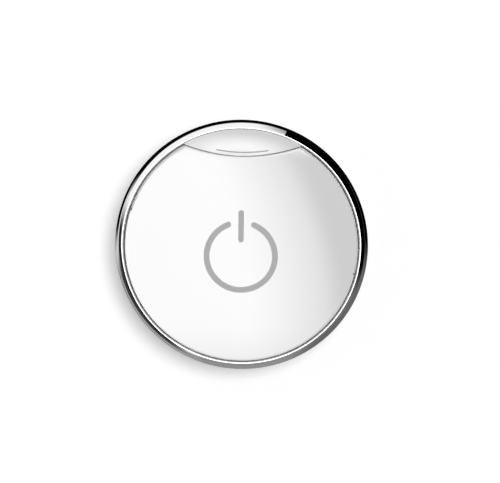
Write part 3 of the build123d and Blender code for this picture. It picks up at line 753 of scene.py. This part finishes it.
class REMOTE_OT_foot_ring(bpy.types.Operator):
    """Build the rubber foot ring with rounded edges and shallow grip grooves"""

    bl_idname = "remote.foot_ring"
    bl_label = "Foot ring"

    def execute(self, context):
        scene = context.scene
        foot = scene.remote_foot
        bm = bmesh.new()
        bottom, top = foot_box[0].z, foot_box[1].z
        profile = [(foot.inner, top), (foot.inner, bottom)]
        pitch = (foot.outer - foot.inner) / (foot.grooves + 1)
        for step in range(1, foot.grooves + 1):
            middle = foot.inner + pitch * step
            for side, depth in ((-0.5, 0.0), (-0.25, 1.0), (0.25, 1.0), (0.5, 0.0)):
                height = bottom + depth * foot.groove_depth
                profile.append((middle + side * foot.groove_width, height))
        profile += [(foot.outer, bottom), (foot.outer, top)]
        revolve(bm, profile, foot.round_steps)
        near = 0.01 * MM

        def on_rim(vert):
            """Whether a vertex is on one of the two lower edges."""
            inside = foot.inner + near < vert.co.to_2d().length < foot.outer - near
            return vert.co.z < bottom + near and not inside

        rims = [edge for edge in bm.edges if all(on_rim(vert) for vert in edge.verts)]
        rims = [edge for edge in rims if edge.calc_length() < pitch]
        soften(bm, rims, foot.edge, segments=4)
        rubber = finish(
            "foot_rubber", scene.remote_colours.rubber, 0.75, bump=0.4, bump_depth=0.02 * MM,
            drift=0.06, grain=0.8, grain_scale=3500.0, roughness_spread=0.1, scratches=0.02,
        )
        piece = finish_mesh("rubber_foot", bm, rubber)
        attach(piece, "housing")
        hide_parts("foot_ring")
        return {"FINISHED"}


class REMOTE_OT_back_finishes(bpy.types.Operator):
    """Give the rear shell and the battery door their finish"""

    bl_idname = "remote.back_finishes"
    bl_label = "Back finishes"

    def execute(self, context):
        shell = finish(
            "shell_white", context.scene.remote_colours.shell, 0.32, bump=0.3, drift=0.01,
            grain=0.7, grain_scale=4500.0, wave=0.1, roughness_spread=0.08, scratches=0.05,
        )
        dress("rear_shell", shell)
        dress("battery_door", shell)
        return {"FINISHED"}


class REMOTE_OT_inner_finishes(bpy.types.Operator):
    """Give the inner pieces their finishes, and make copies of the membrane and the dome"""

    bl_idname = "remote.inner_finishes"
    bl_label = "Inner finishes"

    def execute(self, context):
        colours = context.scene.remote_colours
        plans = {
            "frame_grey": ((0.25, 0.26, 0.27), 0.5, 0.0, ("upper_frame",)),
            "membrane_rubber": ((0.03, 0.03, 0.032), 0.7, 0.0, ("switch_membrane",)),
            "board_mask": (tuple(colours.board), 0.35, 0.0, ("circuit_board",)),
            "switch_black": ((0.015, 0.015, 0.016), 0.45, 0.0, ("switch_housing",)),
            "spring_steel": ((0.55, 0.54, 0.52), 0.28, 1.0, (
                "switch_cover", "switch_dome", "positive_contact", "negative_contact")),
            "stem_white": ((0.62, 0.61, 0.58), 0.4, 0.0, ("switch_stem",)),
            "lamp_cream": ((0.7, 0.62, 0.3), 0.4, 0.0, ("status_led",)),
            "chip_black": ((0.012, 0.012, 0.013), 0.5, 0.0, ("radio_chip",)),
            "crystal_lid": ((0.55, 0.53, 0.48), 0.3, 1.0, ("clock_crystal",)),
            "antenna_ceramic": ((0.45, 0.52, 0.55), 0.35, 0.0, ("chip_antenna",)),
            "passive_tan": ((0.25, 0.16, 0.08), 0.5, 0.0, ("board_passives",)),
            "cell_steel": ((0.6, 0.6, 0.59), 0.25, 1.0, ("cell_can", "cell_cap")),
            "gasket_grey": ((0.04, 0.04, 0.04), 0.6, 0.0, ("cell_gasket",)),
            "cell_stack": ((0.08, 0.08, 0.08), 0.7, 0.0, ("cell_core",)),
            "seal_black": ((0.01, 0.01, 0.01), 0.7, 0.0, ("door_seal",)),
            "screw_steel": ((0.42, 0.42, 0.43), 0.35, 1.0, ("housing_screws",)),
        }
        for name, (colour, roughness, metal, nodes) in plans.items():
            material = finish(
                name, colour, roughness, bump=0.25, metal=metal, drift=0.05, grain=0.5,
                roughness_spread=0.1, scratches=0.15,
            )
            for node in nodes:
                dress(node, material)
            if name == "board_mask":
                self.tracks(material.node_tree, colours)
        # Shares of height that would have both lose a little more than the cap's 0.3 mm of travel
        self.sprung("switch_membrane", "cap_membrane", "membrane_rubber", keep=0.74)
        self.sprung("switch_dome", "snap_dome", "spring_steel", keep=0.29)
        return {"FINISHED"}

    def sprung(self, node, name, material, keep):
        """A copy of a solid under the cap; keep, the share of its height, is not used."""
        bm = bmesh.new()
        bm.from_mesh(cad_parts[node].data)
        piece = finish_mesh(name, bm, bpy.data.materials[material])
        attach(piece, "housing")
        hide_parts(node)
        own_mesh(piece)

    def tracks(self, tree, colours):
        """Paler lines of copper under the board's mask."""
        bricks = tree.nodes.new("ShaderNodeTexBrick")
        bricks.offset, bricks.squash, bricks.squash_frequency = 0.37, 1.6, 3
        preset(bricks, {
            "Scale": 330.0, "Mortar Size": 0.03, "Mortar Smooth": 0.1, "Brick Width": 0.9,
        })
        tree.links.new(object_place(tree), bricks.inputs["Vector"])
        blend_colours(tree, bricks.outputs["Fac"], colours.board, colours.track)


# Floor, light and camera


class REMOTE_OT_studio(bpy.types.Operator):
    """Set up the pale floor, the soft light, the cards that the gloss reflects, and the camera"""

    bl_idname = "remote.studio"
    bl_label = "Studio"

    def seen(self, tree):
        """1 for what the camera sees, also by a reflection or through a clear surface."""
        path = tree.nodes.new("ShaderNodeLightPath").outputs
        seen = math(tree, "MAXIMUM", path["Is Camera Ray"], path["Is Glossy Ray"])
        return math(tree, "MAXIMUM", seen, path["Is Transmission Ray"])

    def floor(self, scene):
        """A large pale floor that is white to the camera away from the shadow."""
        bm = bmesh.new()
        bmesh.ops.create_circle(bm, cap_ends=True, segments=96, radius=3.0)
        material = bpy.data.materials.new("floor_white")
        material.use_nodes = True
        tree = material.node_tree
        shader = tree.nodes["Principled BSDF"]
        preset(shader, {
            "Base Color": (*scene.remote_colours.floor, 1.0), "Roughness": 0.9,
            "Specular IOR Level": 0.0, "Emission Color": WHITE,
        })
        # Its own glow is least at the remote, and grows between two distances
        least, growth, near, far = 0.24, 0.9, 0.04, 0.16
        reach = vector_math(tree, "LENGTH", object_place(tree)).outputs["Value"]
        away = ramp(tree, reach, near, far)
        glow = math(tree, "ADD", math(tree, "MULTIPLY", away, growth), least)
        glow = math(tree, "MULTIPLY", glow, self.seen(tree))
        tree.links.new(glow, shader.inputs["Emission Strength"])
        floor = finish_mesh("floor", bm, material)

    def world(self, scene):
        """White to the camera and in reflections, plain fill for the rest."""
        world = bpy.data.worlds.new("studio")
        scene.world = world
        world.use_nodes = True
        tree = world.node_tree
        ground = tree.nodes["Background"]
        fill = 0.35
        more = math(tree, "MULTIPLY", self.seen(tree), 1.0 - fill)
        tree.links.new(math(tree, "ADD", more, fill), ground.inputs["Strength"])
        preset(ground, {"Color": WHITE})

    def sun(self, name, strength, spread, direction):
        """A soft lamp from far away that only lights matt colour."""
        light = bpy.data.lights.new(name, "SUN")
        light.energy = strength
        light.angle = spread
        lamp = bpy.data.objects.new(name, light)
        lamp.rotation_euler = Vector(direction).to_track_quat("Z", "Y").to_euler()
        lamp.visible_glossy = False
        bpy.context.scene.collection.objects.link(lamp)

    def tent(self):
        """Cards that only reflections see: white, with dark gaps, a bright panel and a painted
        contact shadow next to the remote.
        """
        bm = bmesh.new()
        radius, steps = 0.5, 24
        # A skirt on the floor, from just outside the ring, and a half ball over it
        line = [(22 * MM, 0.4 * MM)]
        for step in range(steps + 1):
            rise = radians(90) * step / steps
            line.append((radius * cos(rise), radius * sin(rise)))
        revolve(bm, line, 96, closed=False)
        bmesh.ops.remove_doubles(bm, verts=bm.verts[:], dist=0.01 * MM)
        material = bpy.data.materials.new("cards")
        material.use_nodes = True
        tree = material.node_tree
        tree.nodes.remove(tree.nodes["Principled BSDF"])
        glow = tree.nodes.new("ShaderNodeEmission")
        tree.links.new(glow.outputs[0], tree.nodes["Material Output"].inputs["Surface"])
        unit = vector_math(tree, "NORMALIZE", object_place(tree))
        split = tree.nodes.new("ShaderNodeSeparateXYZ")
        tree.links.new(unit.outputs[0], split.inputs[0])
        x, y, z = split.outputs

        def both(first, second):
            """The product of two masks or numbers."""
            return math(tree, "MULTIPLY", first, second)

        # Turn round the object in degrees from the black card's hard end, and elevation in degrees
        hard_end = 68.0
        turned = both(math(tree, "ARCTAN2", y, x), 180 / pi)
        turned = math(tree, "MODULO", math(tree, "ADD", turned, 720.0 - hard_end), 360.0)
        rise = both(math(tree, "ARCSINE", z), 180 / pi)

        def sector(low, high, soft):
            """1 between two azimuths, which lie on the way up from the hard end."""
            low, high = low - hard_end, high - hard_end
            inside = ramp(tree, turned, low - soft, low + soft)
            return both(inside, ramp(tree, turned, high + soft, high - soft))

        def below(limit, soft):
            """1 under an elevation."""
            return ramp(tree, rise, limit + soft, limit - soft)

        # Bright panel overhead: a step at its right edge, then slowly brighter to the left
        at_edge, further_in, panel_glow, wedge_glow = 0.32, 0.68, 4.0, 3.2
        edge_x, edge_slope, edge_bend = 0.0835, 0.49, 0.75
        curved = both(y, math(tree, "ADD", both(y, edge_bend), edge_slope))
        inside = math(tree, "SUBTRACT", math(tree, "SUBTRACT", edge_x, curved), x)
        panel = both(ramp(tree, inside, -0.045, 0.02), at_edge)
        panel = math(tree, "ADD", panel, both(ramp(tree, inside, -0.06, 0.2), further_in))
        for axis, outside, full in ((x, -0.55, -0.4), (y, -0.6, -0.33), (y, 0.2, 0.03)):
            panel = both(panel, ramp(tree, axis, outside, full))
        # A wedge of the same panel that only the thumb scoop reflects
        width = both(math(tree, "ADD", y, 0.17), 0.55)
        wedge = math(tree, "SUBTRACT", width, math(tree, "ABSOLUTE", x))
        wedge = both(ramp(tree, wedge, -0.03, 0.03), ramp(tree, y, 0.03, 0.09))
        wedge = both(wedge, ramp(tree, y, 0.5, 0.42))
        level = math(tree, "MAXIMUM", both(panel, panel_glow), both(wedge, wedge_glow))
        level = math(tree, "ADD", 1.0, level)
        # Each gap replaces what lies under it; the floor part is the skirt
        floor_part = below(1.6, 0.4)
        strip = math(tree, "SUBTRACT", below(20.0, 3.0), floor_part)
        nearer = both(ramp(tree, rise, 0.12, 0.2), floor_part)
        # The skirt just outside the ring, where the cards carry a painted contact shadow
        near = both(ramp(tree, rise, 0.6, 0.7), below(1.6, 0.2))
        gaps = (
            # Left: grey floor, and a dark strip over it that reaches down over its far end
            (sector(192, 255, 10), floor_part, 0.35),
            (sector(174, 246, 9), strip, 0.02),
            (sector(197, 246, 9), below(0.3, 0.06), 0.02),
            # Behind: grey beside the hard end, a dark low card, and towards the left a low line
            (sector(60, 77, 9), below(28.0, 14.0), 0.45),
            (sector(-100, 162, 10), below(6.0, 2.0), 0.0),
            (sector(-100, 186, 8), nearer, 0.0),
            # In front: grey, darker towards the right, then the black card up to the hard end
            (sector(248, 600, 6), below(31.0, 3.0), 0.3),
            (sector(294, 600, 10), below(31.0, 3.0), 0.17),
            (sector(333, 600, 9), below(39.5, 2.5), 0.0),
            (sector(300, 348, 10), floor_part, 0.14),
            # Painted contact shadow: the skirt next to the remote is dark from the left round the
            # front to the right
            (sector(176, 385, 8), near, 0.08),
        )
        for part, height, value in gaps:
            mask = both(part, height)
            kept = both(level, math(tree, "SUBTRACT", 1.0, mask))
            level = math(tree, "ADD", kept, both(mask, value))
        tree.links.new(level, glow.inputs["Strength"])
        cards = finish_mesh("cards", bm, material)
        for ray in ("camera", "diffuse", "transmission", "shadow", "volume_scatter"):
            setattr(cards, f"visible_{ray}", False)
        material.cycles.emission_sampling = "NONE"

    def camera(self, scene):
        """The view of the photograph: from above, leaning a little towards the scoop."""
        towards = Vector((0.0334, 0.1701, 0.9849)).normalized()
        height, distance, rolled = 7.5 * MM, 600 * MM, radians(0.756)
        shift_right, shift_up = 1.42 * MM, 0.6 * MM
        side = Vector((0, 1, 0)).cross(towards).normalized()
        up = towards.cross(side)
        roll = Matrix.Rotation(rolled, 3, towards)
        side, up = roll @ side, roll @ up
        aim = Vector((0, 0, height)) + side * shift_right + up * shift_up
        camera = bpy.data.cameras.new("photo_view")
        camera.lens = 260.6
        camera.sensor_width = 36
        camera.clip_start = 0.01
        seen = bpy.data.objects.new("photo_view", camera)
        turned = Matrix((side, up, towards)).transposed().to_4x4()
        seen.matrix_world = Matrix.Translation(aim + towards * distance) @ turned
        scene.collection.objects.link(seen)
        scene.camera = seen

    def execute(self, context):
        scene = context.scene
        scene.view_settings.view_transform = "Standard"
        self.floor(scene)
        self.world(scene)
        self.sun("key_lamp", strength=1.83, spread=radians(24), direction=(0.21, 0.28, 0.9))
        self.tent()
        self.camera(scene)
        return {"FINISHED"}


class REMOTE_PT_builder(bpy.types.Panel):
    """Lists the pieces and their sizes in the 3D view's sidebar"""

    bl_label = "Round lock remote"
    bl_idname = "REMOTE_PT_builder"
    bl_space_type = "VIEW_3D"
    bl_region_type = "UI"
    bl_category = "Remote"

    def draw(self, context):
        for operator in OPERATORS:
            self.layout.operator(operator.bl_idname)
        for name in GROUPS:
            group = getattr(context.scene, name)
            box = self.layout.box()
            for key in group.bl_rna.properties.keys():
                if key not in ("rna_type", "name"):
                    box.prop(group, key)


GROUPS = {
    "remote_cap": RemoteCap,
    "remote_scoop": RemoteScoop,
    "remote_ring": RemoteRing,
    "remote_foot": RemoteFoot,
    "remote_colours": RemoteColours,
}
OPERATORS = (
    REMOTE_OT_press_cap,
    REMOTE_OT_symbol,
    REMOTE_OT_thumb_scoop,
    REMOTE_OT_bright_ring,
    REMOTE_OT_foot_ring,
    REMOTE_OT_back_finishes,
    REMOTE_OT_inner_finishes,
    REMOTE_OT_studio,
)


def register():
    """Registers the settings, the operators and the panel."""
    for name, group in GROUPS.items():
        bpy.utils.register_class(group)
        setattr(bpy.types.Scene, name, PointerProperty(type=group))
    for operator in OPERATORS:
        bpy.utils.register_class(operator)
    bpy.utils.register_class(REMOTE_PT_builder)


def unregister():
    """Takes them all away again."""
    bpy.utils.unregister_class(REMOTE_PT_builder)
    for operator in reversed(OPERATORS):
        bpy.utils.unregister_class(operator)
    for name, group in GROUPS.items():
        delattr(bpy.types.Scene, name)
        bpy.utils.unregister_class(group)


def main():
    """Builds every piece and the studio."""
    register()
    bpy.ops.remote.press_cap()
    bpy.ops.remote.symbol()
    bpy.ops.remote.thumb_scoop()
    bpy.ops.remote.bright_ring()
    bpy.ops.remote.foot_ring()
    bpy.ops.remote.back_finishes()
    bpy.ops.remote.inner_finishes()
    bpy.ops.remote.studio()


if __name__ == "__main__":
    main()
